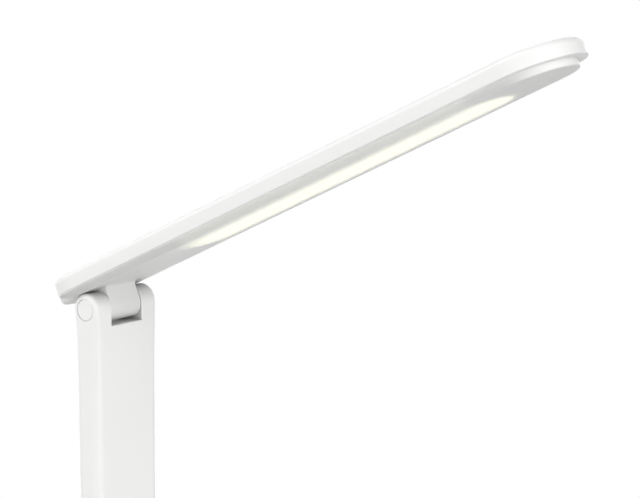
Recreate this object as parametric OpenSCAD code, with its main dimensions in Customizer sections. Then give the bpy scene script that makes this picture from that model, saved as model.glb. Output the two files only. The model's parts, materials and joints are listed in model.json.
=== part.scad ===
// Folding LED desk lamp, in millimetres.
// Origin: centre of the base's footprint on the table. +Z up, -Y is the side the head points to,
// X runs along both hinge axes. Shown upright, with the head tilted up and ready to use.

/* [Head] */
// Reach of the head in front of the upper hinge axis
head_front = 292.5; // [260:1:294]
// Length of the head behind the upper hinge axis
head_tail = 23.8; // [20:0.1:27]
// Width of the head
head_w = 46; // [44:1:60]
// Thickness of the upper body of the head
shell_t = 7.75; // [7.5:0.05:10]
// Height by which the lower frame stands proud of the upper body
frame_drop = 3.5; // [3:0.1:5]
// Tilt of the head above the horizontal, as shown
head_tilt = 25.1; // [0:0.1:60]
// Set-back of the lower frame along the sides
side_inset = 4.4; // [4:0.1:6]
// Set-back of the lower frame at the front tip
tip_inset = 4.8; // [4.6:0.1:8]
// Set-back of the lower frame at the tail
tail_inset = 1.4; // [1.4:0.1:2]
// Corner radius of the lower frame at the tail
tail_corner = 13.6; // [13.6:0.1:18]
// Depth by which the tail's end is scooped back towards the frame's face
tail_scoop = 2.2; // [1:0.1:3]
// Wall of the head mouldings
head_wall = 1.7; // [1.4:0.1:2]

/* [Light window] */
// Distance from the hinge axis to the window's rear end
window_start = 60.7; // [55:0.1:80]
// Length of the window
window_len = 191.6; // [120:0.1:200]
// Width of the window
window_w = 27.4; // [24:0.1:31]
// Depth of the diffuser's face in the window
window_depth = 0.5; // [0.2:0.1:1]
// Light sources in each of the two rows
led_count = 24; // [8:1:30]

/* [Arm] */
// Width of the arm
arm_w = 40; // [38:1:50]
// Depth of the arm
arm_t = 15.1; // [14.8:0.1:18]
// Distance between the two hinge axes
arm_len = 306; // [305:1:380]
// Edge round at the fork ears
ear_round = 2.2; // [1:0.1:2.6]
// Front edge round of the plain part of the arm
arm_round = 4.1; // [3.9:0.1:4.4]
// Rear edge round of the plain part of the arm
back_round = 5.7; // [5:0.1:6.4]
// Wall of the arm moulding
arm_wall = 2.4; // [2:0.1:2.6]
// Thickness of the arm's back cover
cover_t = 1.6; // [1.2:0.1:2]

/* [Hinges] */
// Width of the fork slot
slot_w = 20; // [18:0.5:22]
// Depth of the slot floor beyond the hinge axis
slot_floor = 7.8; // [7.6:0.1:9]
// Radius of the head's knuckle
knuckle_r = 6.85; // [6.2:0.05:6.9]
// Radius of the foot's knuckle
foot_knuckle_r = 6.2; // [6:0.1:6.3]
// Gap between the knuckle's side and the ear
side_gap = 0.3; // [0.2:0.05:0.5]
// Diameter of the hinge pin
pin_d = 5; // [4.6:0.1:5.2]
// Bore of the hollow pin, which carries the lead
pin_bore = 2.4; // [2.2:0.1:2.6]
// Diameter of the flush pin cap
cap_d = 9.8; // [9.7:0.1:10]
// Thickness of the pin cap
cap_t = 1.4; // [1.2:0.1:1.6]
// Diameter of the electrical leads
lead_d = 1.8; // [1.2:0.1:1.8]

/* [Base] */
// Length of the base
base_len = 190; // [170:1:240]
// Width of the base
base_w = 104; // [102:1:140]
// Height of the base
base_h = 18; // [18:0.5:24]
// Wall of the base cover
base_wall = 2.4; // [2:0.1:3]
// Round of the base's top edge
base_round = 3; // [1:0.1:3.5]
// Distance of the arm's hinge from the base's rear end
arm_back = 37; // [35:1:39]
// Height of the lower hinge axis above the base's top
foot_rise = 22; // [21.5:0.5:26]
// Thickness of the steel weight plate
weight_t = 7; // [6:0.5:8]
// Thickness of the anti-slip pad
pad_t = 1.2; // [1:0.1:2]

/* [Buttons] */
// Diameter of a push button
button_d = 13.8; // [12:0.1:15]
// Distance between the two buttons
button_gap = 26; // [20:1:28]
// Distance of the buttons from the base's front end
button_front = 47; // [45:1:49]
// Height by which a button stands proud of the base
button_proud = 0.4; // [0.2:0.1:0.5]

/* [Hidden] */
$fn = 64;

white = "#f2f2f0";
steel = "#b9bcc0";
eps = 0.05;             // overshoot of a cut beyond the face it opens
fit = 0.1;              // gap between pieces that drop into each other
run = 0.03;             // radial clearance of the turning fit
snug = 0.02;            // radial clearance of a pressed fit
hull_fn = 44;

// Heights measured from a hinge axis towards the head, or towards the base
ear_r = arm_t / 2;
shoulder = ear_r + 0.3;             // face of the head or the foot that clears the ears
knuckle_w = slot_w - 2 * side_gap;

// Head, drawn lying flat with the upper hinge axis at the origin and its tip at -Y
rim_z = shoulder + frame_drop;      // plane between the upper body and the lower frame
head_top = rim_z + shell_t;
head_r = head_w / 2;
head_y0 = -(head_front - head_r);   // centre of the tip's half circle
head_y1 = head_tail - head_r;       // centre of the tail's half circle
top_round = 2.5;
rim_round = 0.4;
frame_round = 0.7;
tail_lip = 1.1;                     // frame's step beyond its plug at the tail
frame_r = head_r - side_inset;
frame_y0 = -(head_front - tip_inset - frame_r);
frame_tail = head_tail - tail_inset;
frame_corner_y = frame_tail - tail_corner;
plug_r = frame_r - fit;             // part of the frame that goes into the shell
plug_y1 = frame_tail - plug_r - tail_lip;
knuckle_blend = 2;
lip_t = 1.5;                        // lip of the shell that the frame plugs into
plug_z = rim_z + lip_t;
skin_t = 1.6;
skin_z = shoulder + skin_t;         // inside of the frame's floor
roof_z = head_top - head_wall;      // inside of the shell's roof
window_r = window_w / 2;
window_y1 = -(window_start + window_r);
window_y0 = -(window_start + window_len - window_r);
flange_r = frame_r - skin_t - 0.4;  // diffuser flange, guided by the frame's walls
flange_t = 1;
board_t = 1.2;
board_z = roof_z - 1.1 - board_t;   // underside of the LED board
board_w = 24;
board_over = 4.5;                   // board beyond the window's ends
led_w = 2.8;
led_l = 3.5;
led_t = 0.7;
led_row = 4.5;
led_end = 12;                       // first source from the window's end
board_screw_x = 9;
board_screw_dy = 3.9;               // screws beyond the centres of the window's ends
hook_len = 6;
hook_count = 6;
rib_x = 8;
rib_rise = 2;
lead_z = plug_z + lead_d / 2;       // height of the lead inside the head
lead_r = lead_d / 2;

// Hinge stack, measured along the axis from the arm's centre
ear_in = slot_w / 2;
ear_out = arm_w / 2;
bush_len = 3.4;
pocket_x = ear_in + bush_len;       // floor of the pocket under the cap
pocket_d = cap_d + 0.3;
bush_d = 7;
flange_d = 9.4;
bush_flange = 0.6;
seat_x = pocket_x + bush_flange;
pin_head_d = 8.6;
pin_head_t = 1.6;
spring_d = 9.2;
spring_t = 0.4;
spring_rise = 0.4;
nut_af = 8;
nut_t = 2.2;
nut_x = seat_x + 2 * (spring_t + spring_rise) + fit;
pin_end = nut_x + nut_t + 0.3;
washer_d = 11;
washer_t = 0.9;
washer_seat = 0.65;
lead_x = pocket_x + 3.1;            // lead's run down the ear and the arm
channel_w = lead_d + 0.6;
cap_skirt = 1.2;

// Arm, drawn with the lower hinge axis at the origin
slot_round = 0.6;
blend_len = 87;                     // stretch over which the edge rounds grow
floor_t = 2.8;
hollow_end = slot_floor + floor_t;
hollow_w = arm_w - 2 * arm_wall;
hollow_front = arm_t / 2 - 2;
hollow_back = arm_t / 2 - 3.2;
cover_w = 27;
cover_end = 16;
cover_round = 6;
opening_w = cover_w - 3;
rib_pitch = 34;
rib_t = 1.2;
rib_h = 2.4;
clip_pitch = 70;

// Base
arm_y = base_len / 2 - arm_back;
button_y = base_len / 2 - button_front;
base_r = base_w / 2;
base_y = base_len / 2 - base_r;     // centre of the half-circle ends
foot_z = base_h + foot_rise;        // lower hinge axis
top_z = foot_z + arm_len;           // upper hinge axis
cover_z = pad_t;
tray_t = 2.4;
tray_z = cover_z + tray_t;
tray_r = base_r - base_wall - 0.2;
roof_in = base_h - base_wall;
weight_z = tray_z + weight_t;
weight_r = 36;
weight_end = 20;                    // weight plate from the base's rear end
weight_y0 = -(base_len / 2 - 7 - weight_r);
weight_y1 = base_len / 2 - weight_end - weight_r;
mount_w = 44;
mount_l = 30;
mount_t = 3;
mount_x = 16;
mount_dy = 9;
mount_head_d = 7;
latch_w = 9;                        // latches of the sleeve over the lower knuckle
latch_d = 2;
latch_t = 1.3;
latch_room = 0.6;
plate_screw_x = 26;
screw_head_t = 1.6;
groove_w = lead_d + 0.8;
groove_z = weight_z - groove_w - 0.2;
bay_ahead = 20;
bay_behind = 22;
bay_w = 56;                         // pocket of the weight plate for the control board
bay_y0 = -button_y - bay_ahead;
bay_y1 = -button_y + bay_behind;
board_w2 = 50;
board_l2 = 36;
post_h = 3;
control_z = tray_z + post_h;
control_t = 1.6;
post_x = board_w2 / 2 - 3.5;
post_dy = board_l2 / 2 - 3.5;
switch_w = 6.2;
switch_h = 3.4;
plunger_d = 3.4;
plunger_sink = 1.6;                 // plunger inside the switch
plunger_z = control_z + control_t + switch_h - plunger_sink;
plunger_h = plunger_sink + 1.1;
button_flange = 1.2;
button_flange_d = button_d + 2.4;
button_under = roof_in - 0.2;       // top of the button's retaining flange
boss_d = 7;
boss_in = base_r - 7;               // bosses' distance from the end circles' centres
side_boss = [base_r - 9, 0];
end_boss = [boss_in * sin(60), base_y + boss_in * cos(60)];
power_w = 24;
power_l = 13.5;
power_y = base_len / 2 - 4.5;       // rear edge of the power board
inlet_w = 8.94;
inlet_h = 3.26;
inlet_l = 7.4;
inlet_z = control_z + control_t + inlet_h / 2;
recess_w = 13;
recess_h = 7;
inlet_y = base_len / 2 - 1.4;       // mouth of the inlet

// ---------- shapes shared by several pieces ----------

// A 2D corner to cut away: the sharp corner is at the origin, the round bulges towards it
module corner_cut(r) {
    difference() {
        translate([-eps, -eps]) square(r + eps);
        translate([r, r]) circle(r);
    }
}

// Half section of a slab from the axis to r, with its outer edges rounded
module slab(r, z0, z1, top = 0, bottom = 0) {
    difference() {
        translate([0, z0]) square([r, z1 - z0]);
        if (top > 0) translate([r, z1]) rotate(180) corner_cut(top);
        if (bottom > 0) translate([r, z0]) mirror([1, 0]) corner_cut(bottom);
    }
}

// A half section carried round two half circles and along the straight run between them
module race(y0, y1) {
    translate([0, y1, 0]) rotate_extrude(angle = 180) children();
    translate([0, y0, 0]) rotate(180) rotate_extrude(angle = 180) children();
    for (side = [0, 1])
        mirror([side, 0, 0])
            translate([0, y1, 0]) rotate([90, 0, 0]) linear_extrude(y1 - y0) children();
}

// A plan outline of two half circles
module race_plan(r, y0, y1) {
    translate([0, y0]) circle(r);
    translate([0, y1]) circle(r);
    translate([-r, y0]) square([2 * r, y1 - y0]);
}

// A rectangle with round corners, centred
module round_rect(w, l, r) {
    square([w - 2 * r, l], center = true);
    square([w, l - 2 * r], center = true);
    for (x = [-1, 1], y = [-1, 1])
        translate([x * (w / 2 - r), y * (l / 2 - r)]) circle(r);
}

// Cylinders and profiles turned onto the hinge axis
module on_axis(x) {
    translate([x, 0, 0]) rotate([0, 90, 0]) children();
}

module ring_x(x0, x1, d_out, d_in) {
    on_axis(x0)
        rotate_extrude()
            translate([d_in / 2, 0]) square([(d_out - d_in) / 2, x1 - x0]);
}

module both_sides() {
    children();
    mirror([1, 0, 0]) children();
}

// The head's own frame, and the arm's own frame
module on_head() {
    translate([0, arm_y, top_z]) rotate([-head_tilt, 0, 0]) children();
}

module on_foot() {
    translate([0, arm_y, foot_z]) children();
}

// ---------- round lead along a route ----------

function unit(v) = v / norm(v);

// Points of an arc of radius r that turns the corner at b
function turned(a, b, c, r, n = 5) =
    let (
        u = unit(a - b),
        v = unit(c - b),
        half = acos(u * v) / 2,
        centre = b + unit(u + v) * r / sin(half),
        from = b + u * r / tan(half) - centre,
        to = b + v * r / tan(half) - centre,
        sweep = 180 - 2 * half
    )
    [for (i = [0:n])
        centre + (from * sin(sweep * (1 - i / n)) + to * sin(sweep * i / n)) / sin(sweep)];

function route(p, r) = concat(
    [p[0]],
    [for (i = [1:len(p) - 2]) each turned(p[i - 1], p[i], p[i + 1], r)],
    [p[len(p) - 1]]);

function heading(p, i) = unit(p[min(i + 1, len(p) - 1)] - p[max(i - 1, 0)]);

function across(v, t) = unit(v - (v * t) * t);

// A round tube whose rings are carried along the points without twisting
module lead(points, d, sides = 10) {
    n = len(points);
    start = across([0.31, 0.83, 0.46], heading(points, 0));
    normals = [for (i = 0, v = start; i < n;
        i = i + 1, v = i < n ? across(v, heading(points, i)) : v) v];
    rings = [for (i = [0:n - 1])
        let (t = heading(points, i), u = normals[i], w = cross(t, u))
            [for (k = [0:sides - 1])
                points[i] + d / 2 * (u * cos(360 * k / sides) + w * sin(360 * k / sides))]];
    skin = [for (i = [0:n - 2], k = [0:sides - 1])
        let (a = i * sides + k, b = i * sides + (k + 1) % sides)
            each [[a, a + sides, b], [b, a + sides, b + sides]]];
    ends = [[for (k = [0:sides - 1]) k],
        [for (k = [sides - 1:-1:0]) (n - 1) * sides + k]];
    polyhedron([for (ring = rings) each ring], concat(skin, ends));
}

// ---------- friction hinge, drawn about its axis with the knuckle's root at +Z ----------

// Knuckle block: a barrel about the axis, flat cheeks up to its root and a hollow blend there
module knuckle(r, root, blend) {
    translate([-knuckle_w / 2, 0, 0]) rotate([90, 0, 90]) linear_extrude(knuckle_w) {
        circle(r);
        translate([-r, 0]) square([2 * r, root]);
        if (blend > 0)
            for (side = [0, 1])
                mirror([side, 0])
                    translate([r, shoulder]) mirror([0, 1]) difference() {
                        translate([-eps, -eps]) square(blend + eps);
                        translate([blend, blend]) circle(blend);
                    }
    }
}

// What the knuckle gives up: pin bore, washer seats and the lead's way out of the pin
module knuckle_bores(root) {
    on_axis(-ear_in) cylinder(d = pin_d + 2 * snug, h = slot_w);
    both_sides()
        on_axis(knuckle_w / 2 - washer_seat) cylinder(d = washer_d + 2 * fit, h = slot_w);
    cylinder(d = pin_bore, h = root);
}

module hinge_pin() {
    color(steel) difference() {
        union() {
            on_axis(-pin_end) cylinder(d = pin_d, h = pin_end + seat_x + eps);
            on_axis(seat_x + eps) cylinder(d = pin_head_d, h = pin_head_t);
        }
        on_axis(-pin_bore / 2) cylinder(d = pin_bore, h = pin_end * 2);
        cylinder(d = pin_bore, h = pin_d);
    }
}

module hinge_nut() {
    color(steel) on_axis(-nut_x - nut_t) difference() {
        cylinder(r = nut_af / 2 / cos(30), h = nut_t, $fn = 6);
        translate([0, 0, -eps]) cylinder(d = pin_d + 2 * snug, h = nut_t + 2 * eps);
    }
}

// Two cone washers set mouth to mouth
module hinge_springs() {
    bore = pin_d / 2 + fit;
    color(steel) mirror([1, 0, 0]) on_axis(seat_x + fit / 2)
        for (flip = [0, 1])
            translate([0, 0, flip * 2 * (spring_t + spring_rise)]) mirror([0, 0, flip])
                rotate_extrude()
                    polygon([[bore, 0], [spring_d / 2, spring_rise],
                        [spring_d / 2, spring_rise + spring_t - snug], [bore, spring_t - snug]]);
}

module hinge_washers() {
    face = ear_in - fit / 2;
    color("#d8d8d2") both_sides()
        ring_x(face - washer_t, face, washer_d, pin_d + 2 * fit);
}

module hinge_bushes() {
    color("#c9a86a") both_sides() {
        ring_x(ear_in + fit / 2, pocket_x, bush_d - 2 * snug, pin_d + 2 * run);
        ring_x(pocket_x, seat_x, flange_d, pin_d + 2 * run);
    }
}

// Cap: a flush face with a fine groove round it, and a ring that grips the pocket
module hinge_caps() {
    grip_d = pocket_d - 2 * run;
    color(white) both_sides() on_axis(ear_out - cap_t)
        rotate_extrude() {
            slab(cap_d / 2, cap_t / 2, cap_t, top = 0.3);
            square([grip_d / 2, cap_t / 2]);
            translate([grip_d / 2 - 0.6, -cap_skirt / 2]) square([0.6, cap_skirt / 2 + eps]);
        }
}

// ---------- head ----------

module head_shell() {
    color(white) on_head() difference() {
        race(head_y0, head_y1) slab(head_r, rim_z, head_top, top_round, rim_round);
        shell_hollow();
        frame_opening();
        for (p = board_screw_places())
            translate([p[0], p[1], board_z]) cylinder(d = 2.04, h = head_top - board_z - 0.7);
    }
}

// The hollow leaves the screw bosses and the stiffening ribs standing
module shell_hollow() {
    difference() {
        race(head_y0, head_y1) slab(head_r - head_wall, plug_z, roof_z);
        for (p = board_screw_places())
            translate([p[0], p[1], board_z + board_t]) cylinder(d = 4.6, h = shell_t);
        for (side = [-1, 1])
            translate([side * (flange_r - 0.5) - 0.6, window_y0, roof_z - 1.4])
                cube([1.2, window_y1 - window_y0, shell_t]);
    }
}

module frame_opening() {
    translate([0, 0, rim_z - eps]) linear_extrude(lip_t + 2 * eps)
        race_plan(frame_r, frame_y0, plug_y1);
}

function board_screw_places() = [for (x = [-1, 1], y = [window_y0 - board_screw_dy,
    window_y1 + board_screw_dy])
    [x * board_screw_x, y]];

// Stepped lower frame: a tray with the light window in its floor and the knuckle under its tail
module head_frame() {
    root = plug_z - 0.4;
    color(white) on_head() difference() {
        union() {
            difference() {
                union() {
                    frame_step();
                    race(frame_y0, plug_y1) slab(plug_r, skin_z, plug_z);
                }
                race(frame_y0, plug_y1) slab(frame_r - skin_t, skin_z, plug_z + 1);
            }
            knuckle(knuckle_r, root, knuckle_blend);
            frame_ribs();
            frame_hooks();
        }
        knuckle_bores(root + 1);
        translate([0, 0, shoulder - eps]) linear_extrude(skin_t + 2 * eps)
            race_plan(window_r, window_y0, window_y1);
    }
}

// Visible step of the frame: round at the tip, with two corners and a scooped end at the tail
module frame_step() {
    translate([0, frame_y0, 0]) rotate(180) rotate_extrude(angle = 180) step_section();
    both_sides() rotate([90, 0, 0])
        translate([0, 0, -frame_corner_y]) linear_extrude(frame_corner_y - frame_y0) step_section();
    hull()
        for (turn = [0, 20, 40, 60, 70, 80, 90]) tail_slice(turn);
}

module step_section() {
    slab(frame_r, shoulder, rim_z, bottom = frame_round);
}

// One level of the step's end. The end's profile is a quarter ellipse, and turn is its angle:
// 0 at the rim, 90 at the face. Towards the sides it runs out into their small edge round.
module tail_slice(turn) {
    rise = frame_drop * (1 - sin(turn));
    below = max(0, frame_round - rise);
    side_in = frame_round - sqrt(frame_round ^ 2 - below ^ 2);
    end_in = tail_scoop * (1 - cos(turn));
    thin = 0.01;
    both_sides()
        translate([frame_r - tail_corner, frame_corner_y, shoulder + max(0, rise - thin)])
            scale([tail_corner - side_in, tail_corner - end_in, 1])
                cylinder(r = 1, h = thin, $fn = hull_fn);
}

// Ribs on the frame's floor between the knuckle and the window
module frame_ribs() {
    inner = frame_r - skin_t + eps;
    pitch = (window_start - hook_len) / 4;
    for (i = [1:4])
        translate([-inner, -i * pitch - rib_t / 2, skin_z - eps]) cube([2 * inner, rib_t, rib_rise]);
    for (x = [-rib_x, rib_x])
        translate([x - rib_t / 2, -4 * pitch, skin_z - eps]) cube([rib_t, 4 * pitch, rib_rise]);
}

// Snap hooks that reach over the shell's lip
module frame_hooks() {
    pitch = (plug_y1 - frame_y0) / hook_count;
    for (i = [0:hook_count - 1])
        both_sides() translate([plug_r - skin_t, frame_y0 + (i + 0.5) * pitch, plug_z - eps])
            rotate([90, 0, 0]) linear_extrude(hook_len, center = true)
                polygon([[0, 0], [skin_t, 0], [skin_t, 2 * fit], [skin_t + 0.7, 2 * fit],
                    [skin_t - 0.2, 1.4], [0, 1.4]]);
}

module diffuser() {
    face = shoulder + window_depth;
    color("#fffdf0") on_head() race(window_y0, window_y1) {
        slab(window_r - fit, face, skin_z + flange_t);
        slab(flange_r, skin_z, skin_z + flange_t);
    }
}

// Sloping wall that guides the light from the board to the diffuser
module reflector() {
    foot = skin_z + flange_t + fit / 2;
    head = board_z - fit;
    outer = flange_r - 0.4;
    notch_y = window_y1 + board_w / 2 - 1;
    color("white") on_head() difference() {
        race(window_y0, window_y1)
            polygon([[outer - 1.8, foot], [outer, foot], [outer, foot + 0.8],
                [outer - 0.6, foot + 0.8], [board_w / 2 + 1.2, head], [board_w / 2, head],
                [outer - 1.8, foot + 0.5]]);
        translate([-channel_w / 2, notch_y, lead_z - channel_w / 2])
            cube([channel_w, hook_len, channel_w + 1]);
    }
}

module led_board() {
    len_y = window_len + 2 * board_over - window_w / 2;
    mid = (window_y0 + window_y1) / 2;
    color("#e8e8e4") on_head() difference() {
        translate([-board_w / 2, mid - len_y / 2, board_z]) cube([board_w, len_y, board_t]);
        for (p = board_screw_places())
            translate([p[0], p[1], board_z - eps]) cylinder(d = 2.4, h = board_t + 2 * eps);
    }
}

module led_chips() {
    span = window_y1 - window_y0 + window_w - 2 * led_end;
    pitch = span / (led_count - 1);
    color("#ffe9a8") on_head()
        for (side = [-1, 1], i = [0:led_count - 1])
            translate([side * led_row - led_w / 2,
                window_y0 - window_r + led_end + i * pitch - led_l / 2, board_z - led_t])
                cube([led_w, led_l, led_t]);
}

module board_screws() {
    color(steel) on_head()
        for (p = board_screw_places())
            translate([p[0], p[1], board_z - 1.1]) {
                cylinder(d = 3.8, h = 1.1);
                cylinder(d = 2, h = head_top - board_z);
            }
}

// Lead from the middle of the pin, up the knuckle and along the head to the LED board
module head_lead() {
    pad_y = (window_y0 + window_y1) / 2 + (window_len + 2 * board_over - window_w / 2) / 2 - 1.5;
    points = [[seat_x + pin_head_t, 0, 0], [0, 0, 0], [0, 0, lead_z], [0, pad_y, lead_z],
        [0, pad_y, board_z - fit]];
    color("#303030") on_head() lead(route(points, 1), lead_d - 0.4);
}

module upper_pin() { on_head() hinge_pin(); }
module upper_nut() { on_head() hinge_nut(); }
module upper_springs() { on_head() hinge_springs(); }
module upper_washers() { on_head() hinge_washers(); }

// ---------- arm ----------

module arm_shell() {
    color(white) on_foot() difference() {
        arm_body();
        arm_hollow();
        fork_cuts();
        at_top() fork_cuts();
    }
    color(white) on_foot() arm_inside();
}

// The fork at the arm's top is the lower one turned over
module at_top() {
    translate([0, 0, arm_len]) mirror([0, 0, 1]) children();
}

module arm_body() {
    rings = [blend_ring(0, 0, 0), blend_ring(0.11, 0.21, 0.46), blend_ring(0.38, 0.66, 0.82),
        blend_ring(1, 1, 1)];
    ears();
    at_top() ears();
    for (i = [0:2]) {
        arm_stretch(rings[i], rings[i + 1]);
        at_top() arm_stretch(rings[i], rings[i + 1]);
    }
    translate([0, 0, rings[3][0]]) linear_extrude(arm_len - 2 * rings[3][0]) arm_section();
}

// Section of the plain part of the arm
module arm_section() {
    difference() {
        square([arm_w, arm_t], center = true);
        for (mx = [0, 1])
            mirror([mx, 0]) {
                translate([-arm_w / 2, -arm_t / 2]) corner_cut(arm_round);
                translate([-arm_w / 2, arm_t / 2]) mirror([0, 1]) corner_cut(back_round);
            }
    }
}

// Height from the axis, front and rear edge round: the rounds grow from the ears' to the arm's.
// Each of the three goes from 0 to 1 over the blend.
function blend_ring(up, front, rear) = [up * blend_len, ear_round + front * (arm_round - ear_round),
    ear_round + rear * (back_round - ear_round)];

// Stretch of the arm between two heights whose edge rounds differ
module arm_stretch(from, to) {
    hull()
        for (end = [from, to], x = [-1, 1], y = [-1, 1])
            translate([x * (arm_w / 2 - end[y < 0 ? 1 : 2]), y * (arm_t / 2 - end[y < 0 ? 1 : 2]),
                end[0] - (end == to ? 0.01 : 0)])
                cylinder(r = end[y < 0 ? 1 : 2], h = 0.01, $fn = hull_fn);
}

// Round ends of the two ears: half turns of the ear's section, below the axis
module ears() {
    both_sides() rotate([-90, 0, 0]) rotate([0, 90, 0]) rotate_extrude(angle = 180)
        difference() {
            translate([0, ear_in]) square([ear_r, ear_out - ear_in]);
            translate([ear_r, ear_out]) rotate(180) corner_cut(ear_round);
            translate([ear_r, ear_in]) mirror([1, 0]) corner_cut(slot_round);
        }
}

// Slot, its rounded edges, the pockets under the caps, the bush bores and the lead's channel
module fork_cuts() {
    translate([-ear_in, -arm_t, -eps]) cube([slot_w, 2 * arm_t, slot_floor + eps]);
    for (mx = [0, 1], my = [0, 1])
        mirror([mx, 0, 0]) mirror([0, my, 0]) translate([ear_in, -arm_t / 2, -eps])
            linear_extrude(slot_floor + eps) corner_cut(slot_round);
    for (my = [0, 1])
        mirror([0, my, 0]) translate([-ear_in, -arm_t / 2, slot_floor]) rotate([90, 0, 90])
            linear_extrude(slot_w) corner_cut(slot_round);
    both_sides() {
        on_axis(ear_in - 1) cylinder(d = bush_d, h = bush_len + 2);
        on_axis(pocket_x) cylinder(d = pocket_d, h = ear_out);
    }
    translate([lead_x - channel_w / 2, -channel_w / 2, 0]) cube([channel_w, channel_w, hollow_end + 1]);
}

module arm_hollow() {
    depth = hollow_front + hollow_back;
    translate([0, (hollow_back - hollow_front) / 2, hollow_end])
        linear_extrude(arm_len - 2 * hollow_end) round_rect(hollow_w, depth, 1.5);
    opening_len = arm_len - 2 * cover_end - 3;
    translate([0, 0, arm_len / 2]) rotate([-90, 0, 0]) {
        linear_extrude(arm_t) round_rect(opening_w, opening_len, cover_round - 1.5);
        translate([0, 0, arm_t / 2 - cover_t]) linear_extrude(arm_t)
            round_rect(cover_w + 2 * fit, arm_len - 2 * cover_end + 2 * fit, cover_round);
    }
}

// Cross ribs on the front wall and clips that hold the lead to the side wall
module arm_inside() {
    ribs = floor((arm_len - 2 * hollow_end) / rib_pitch);
    clips = floor((arm_len - 4 * hollow_end) / clip_pitch);
    for (i = [1:ribs - 1])
        translate([-hollow_w / 2 - eps, -hollow_front - eps, hollow_end + i * rib_pitch])
            cube([hollow_w + 2 * eps, rib_h, rib_t]);
    for (i = [-(clips - 1) / 2:(clips - 1) / 2])
        translate([lead_x - 2, 0, arm_len / 2 + i * clip_pitch + 10]) difference() {
            translate([0, -1.9, 0]) cube([hollow_w / 2 - lead_x + 2 + eps, 3.8, 3]);
            translate([2, 0, -eps]) cylinder(d = lead_d + 2 * fit, h = 4);
            translate([-eps, -0.7, -eps]) cube([2, 1.4, 4]);
        }
}

// Back cover with its snap tabs
module arm_cover() {
    cover_len = arm_len - 2 * cover_end;
    tab_pitch = cover_len / 4;
    color(white) on_foot() {
        translate([0, arm_t / 2, arm_len / 2]) rotate([90, 0, 0]) linear_extrude(cover_t)
            round_rect(cover_w, cover_len, cover_round);
        for (i = [-1.5:1.5])
            both_sides() translate([opening_w / 2 - fit, arm_t / 2 - cover_t, arm_len / 2 + i * tab_pitch])
                linear_extrude(hook_len)
                    polygon([[0, eps], [0, -1.8], [0.7, -1.8], [0, -3], [-1.2, -3], [-1.2, eps]]);
    }
}

// Lead from the lower pin's end up the arm to the upper pin's end
module arm_lead() {
    start_x = seat_x + pin_head_t + 2 * fit;
    points = [[start_x, 0, 0], [lead_x, 0, 0], [lead_x, 0, arm_len], [start_x, 0, arm_len]];
    color("#303030") on_foot() lead(route(points, lead_x - start_x - 0.05), lead_d - 0.4);
}

module upper_bushes() { on_foot() at_top() hinge_bushes(); }
module upper_caps() { on_foot() at_top() hinge_caps(); }
module lower_bushes() { on_foot() hinge_bushes(); }
module lower_caps() { on_foot() hinge_caps(); }

// ---------- base ----------

module base_cover() {
    color(white) difference() {
        union() {
            difference() {
                race(-base_y, base_y) slab(base_r, cover_z, base_h, base_round, 1);
                race(-base_y, base_y) slab(base_r - base_wall, cover_z - 1, roof_in);
            }
            cover_bosses();
        }
        translate([-(knuckle_w / 2 + fit), arm_y - foot_knuckle_r - fit, roof_in - 1])
            cube([knuckle_w + 2 * fit, 2 * (foot_knuckle_r + fit), foot_rise]);
        translate([0, arm_y, roof_in - 1]) shroud_latches(fit, base_wall + 2);
        for (side = [-1, 1])
            translate([side * button_gap / 2, -button_y, roof_in - 1])
                cylinder(d = button_d + 0.3, h = base_wall + 2);
        for (p = boss_places())
            translate([p[0], p[1], 0]) cylinder(d = 2.64, h = roof_in - 1);
        inlet_cuts();
    }
}

function boss_places() = concat(
    [for (x = [-1, 1]) [x * side_boss[0], side_boss[1]]],
    [for (x = [-1, 1], y = [-1, 1]) [x * end_boss[0], y * end_boss[1]]]);

module cover_bosses() {
    for (p = boss_places())
        translate([p[0], p[1], tray_z + 2]) cylinder(d = boss_d, h = roof_in - tray_z - 2 + eps);
}

// Fixed stub under the arm, with the arm's own section: a sleeve over the lower knuckle,
// latched into the base cover
module foot_shroud() {
    rise = foot_z - shoulder - base_h;
    depth = 2 * (foot_knuckle_r + fit);
    color(white) translate([0, arm_y, base_h]) {
        difference() {
            linear_extrude(rise) round_rect(arm_w, arm_t, arm_round);
            translate([0, 0, -eps])
                linear_extrude(rise - 2) round_rect(arm_w - 2 * arm_wall, depth, 1.5);
            translate([-(knuckle_w / 2 + fit), -depth / 2, -eps])
                cube([knuckle_w + 2 * fit, depth, rise + 1]);
            for (my = [0, 1])
                mirror([0, my, 0]) translate([-arm_w / 2, -arm_t / 2, rise]) rotate([90, 0, 90])
                    linear_extrude(arm_w) mirror([0, 1]) corner_cut(slot_round);
        }
        translate([0, 0, -base_wall - latch_t]) {
            shroud_latches(0, base_wall + latch_t + latch_w);
            both_sides() translate([arm_w / 2 - arm_wall - eps, 0, 0]) rotate([90, 0, 0])
                linear_extrude(latch_w, center = true)
                    polygon([[0, 0], [0.2, 0], [1, latch_t - fit], [0, latch_t - fit]]);
        }
    }
}

// Flat legs of the sleeve's latches
module shroud_latches(gap, h) {
    both_sides()
        translate([arm_w / 2 - arm_wall - latch_d - gap, -latch_w / 2 - gap, 0])
            cube([latch_d + (gap > 0 ? latch_room : 0) + gap, latch_w + 2 * gap, h]);
}

// Flat recess in the rear wall and the inlet's hole in its floor
module inlet_cuts() {
    translate([-recess_w / 2, inlet_y, inlet_z - recess_h / 2]) cube([recess_w, 5, recess_h]);
    translate([0, inlet_y + 1, inlet_z]) inlet_solid(inlet_w + 2 * fit, inlet_h + 2 * fit, 5);
}

// A flat-oval bar that runs along -Y
module inlet_solid(w, h, l) {
    rotate([90, 0, 0]) linear_extrude(l) round_rect(w, h, h / 2 - 0.01);
}

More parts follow.
